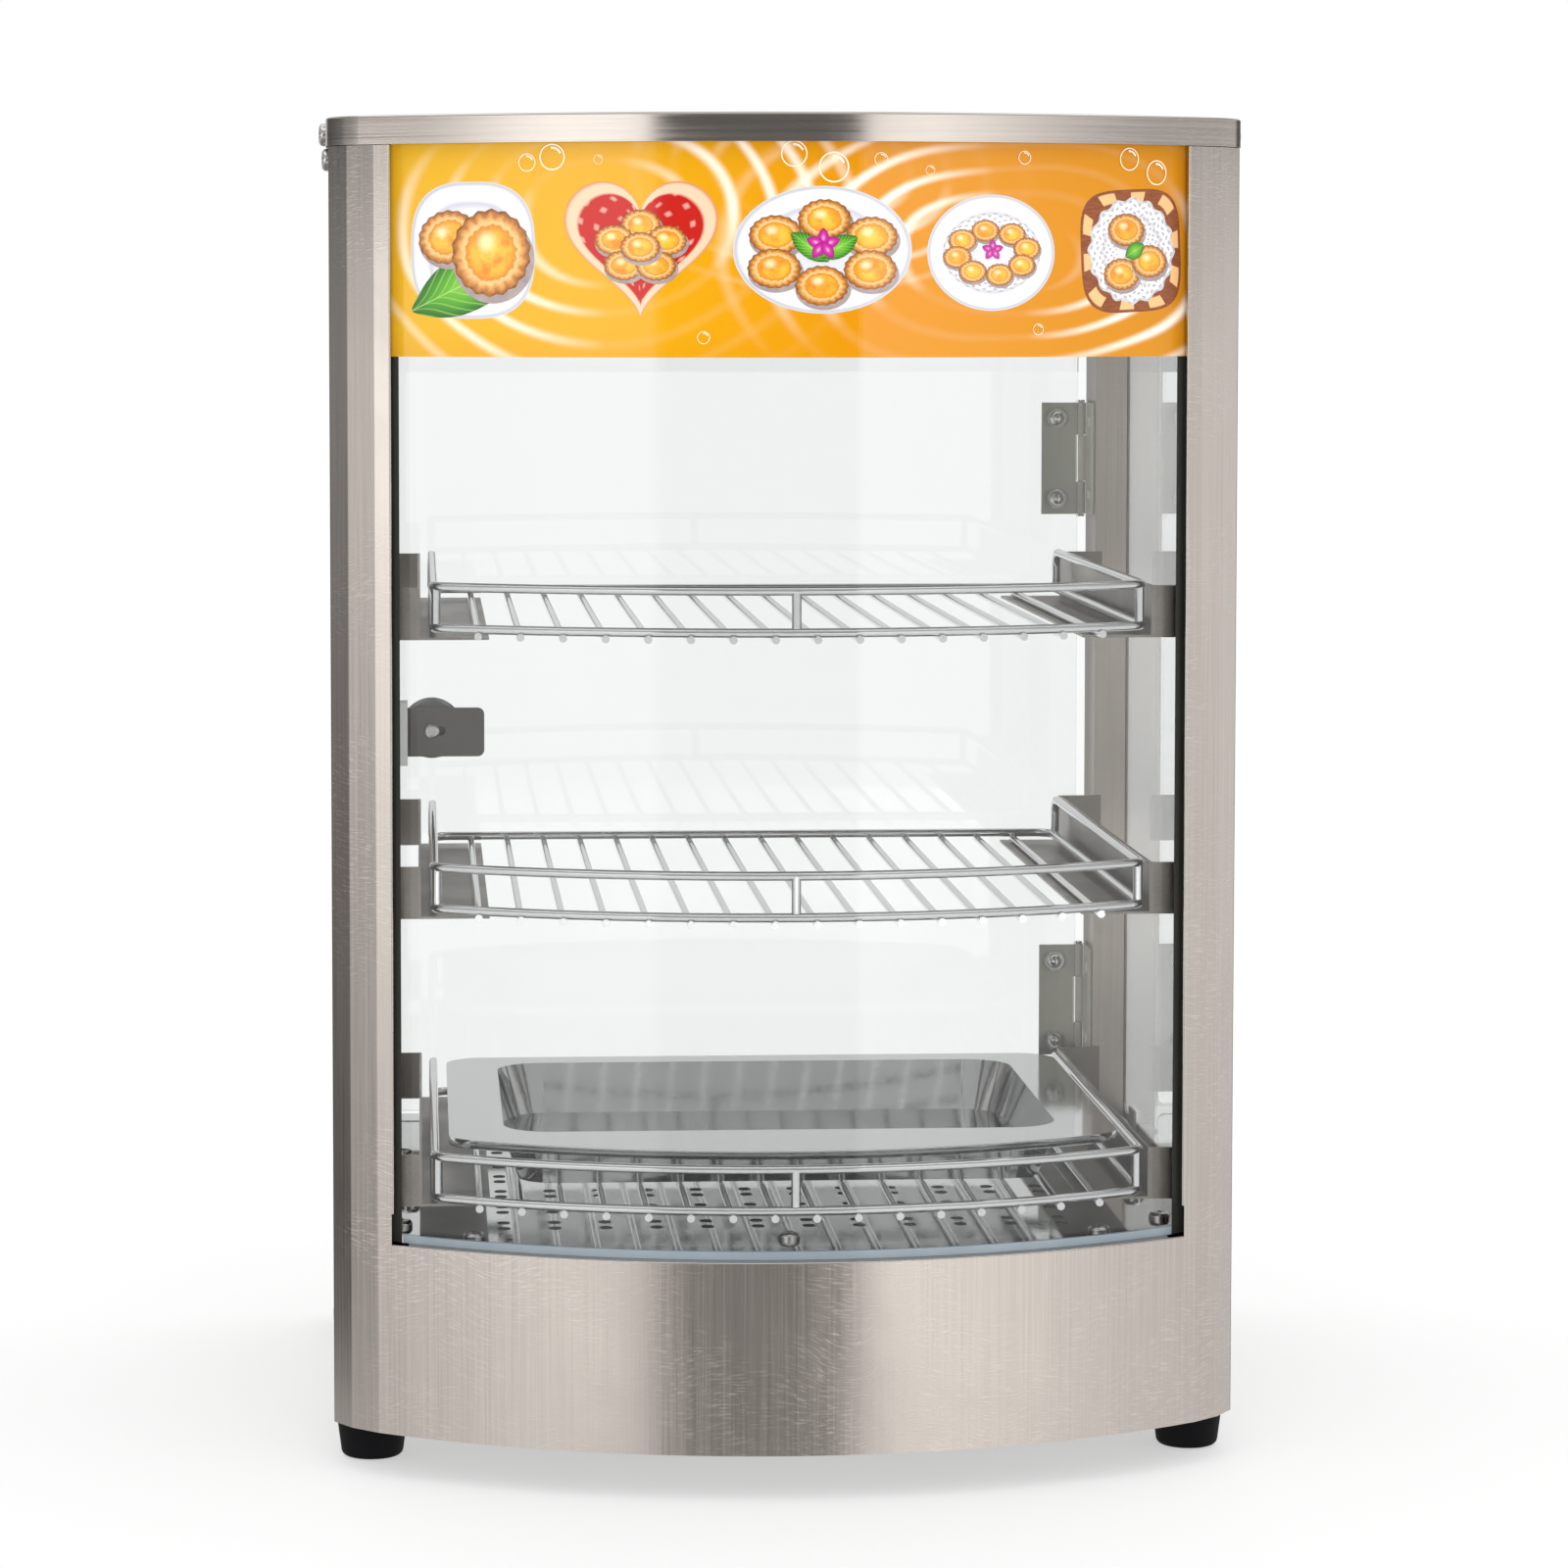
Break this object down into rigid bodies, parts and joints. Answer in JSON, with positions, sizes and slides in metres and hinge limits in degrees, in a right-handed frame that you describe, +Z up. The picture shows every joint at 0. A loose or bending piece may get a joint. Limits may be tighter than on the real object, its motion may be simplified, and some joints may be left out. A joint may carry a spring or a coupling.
{
  "type": "hot food display case",
  "caption": "Countertop heated display case with a curved glass front, wire shelves on side brackets, a header panel and a hinged rear glass door.",
  "frame": {"origin": "centre of the case's outline, on the surface that the rubber feet stand on", "axes": "+X to the right seen from the front, +Y to the rear door, +Z up; the curved front faces -Y"},
  "size_m": [0.3628, 0.3691, 0.527],
  "materials": {
    "body_steel": "brushed, satin",
    "inner_steel": "plain sheet, satin",
    "polished_steel": "polished",
    "bracket_steel": "bead-blasted",
    "chrome_wire": "bright chrome plate",
    "screws": "bright",
    "clear_glass": "clear, polished",
    "banner_print": "printed, gloss",
    "black_rubber": "matt",
    "clear_seal": "translucent silicone",
    "black_plastic": "fine texture",
    "knob_plastic": "moulded, gloss",
    "amber_lens": "translucent lens",
    "red_rocker": "translucent, gloss",
    "element_sheath": "oxidised",
    "ceramic_white": "unglazed",
    "lamp_glass": "frosted",
    "magnet_body": "moulded",
    "terminal_plastic": "moulded"
  },
  "bodies": {
    "case": {"front_fascia": "body_steel", "lid": "body_steel", "side_panel_right": "body_steel", "side_panel_left": "body_steel", "side_glass_right": "clear_glass", "side_glass_left": "clear_glass", "front_stiffener_right": "inner_steel", "front_stiffener_left": "inner_steel", "rear_post_right": "body_steel", "rear_post_left": "body_steel", "glass_seal_right": "black_rubber", "glass_seal_left": "black_rubber", "side_glass_clips": "inner_steel", "rear_header": "body_steel", "control_panel": "body_steel", "panel_fixings": "screws", "bottom_plate": "inner_steel", "floor_plate": "polished_steel", "floor_screws": "screws", "ceiling_panel": "inner_steel", "front_glass": "clear_glass", "banner_panel": "banner_print", "sill_bead": "clear_seal", "lid_screws": "screws", "skirt_screws": "screws", "foot_screws": "screws", "door_magnet": "magnet_body", "heating_element": "element_sheath", "element_supports": "inner_steel", "heat_shield": "inner_steel", "thermostat_body": "black_plastic", "thermostat_probe": "polished_steel", "indicator_lamp": "amber_lens", "switch_body": "black_plastic", "power_inlet": "black_plastic", "terminal_block": "terminal_plastic", "lamp_holder": "ceramic_white", "lamp_bulb": "lamp_glass", "feet": "black_rubber", "hinge_leaves_post": "inner_steel", "hinge_pins": "screws", "shelf_brackets_lower": "bracket_steel", "shelf_brackets_middle": "bracket_steel", "shelf_brackets_upper": "bracket_steel"},
    "door": {"door_glass": "clear_glass", "hinge_leaves_door": "inner_steel", "hinge_bolts": "screws", "door_knob": "knob_plastic", "strike_plate": "inner_steel", "knob_screw": "screws"},
    "shelf_lower": {"shelf_grid_lower": "chrome_wire", "shelf_rail_lower": "chrome_wire"},
    "shelf_middle": {"shelf_grid_middle": "chrome_wire", "shelf_rail_middle": "chrome_wire"},
    "shelf_upper": {"shelf_grid_upper": "chrome_wire", "shelf_rail_upper": "chrome_wire"},
    "tray": {"food_tray": "polished_steel"},
    "dial": {"thermostat_knob": "knob_plastic"},
    "rocker": {"switch_rocker": "red_rocker"}
  },
  "joints": [
    {"name": "door_hinge", "type": "hinge", "parent": "case", "child": "door", "pos_m": [0.155, 0.1685, 0.3], "axis": [0, 0, 1], "range_deg": [-110, 0]},
    {"name": "shelf_lower_lift", "type": "slide", "parent": "case", "child": "shelf_lower", "axis": [0, 0, 1], "range_m": [0, 0.03]},
    {"name": "shelf_middle_lift", "type": "slide", "parent": "case", "child": "shelf_middle", "axis": [0, 0, 1], "range_m": [0, 0.03]},
    {"name": "shelf_upper_lift", "type": "slide", "parent": "case", "child": "shelf_upper", "axis": [0, 0, 1], "range_m": [0, 0.03]},
    {"name": "tray_lift", "type": "slide", "parent": "shelf_lower", "child": "tray", "axis": [0, 0, 1], "range_m": [0, 0.03]},
    {"name": "dial_turn", "type": "hinge", "parent": "case", "child": "dial", "pos_m": [0.116, 0.176, 0.056], "axis": [0, 1, 0], "range_deg": [-270, 0]},
    {"name": "rocker_tip", "type": "hinge", "parent": "case", "child": "rocker", "pos_m": [0.018, 0.1705, 0.056], "axis": [1, 0, 0], "range_deg": [0, 14]}
  ]
}
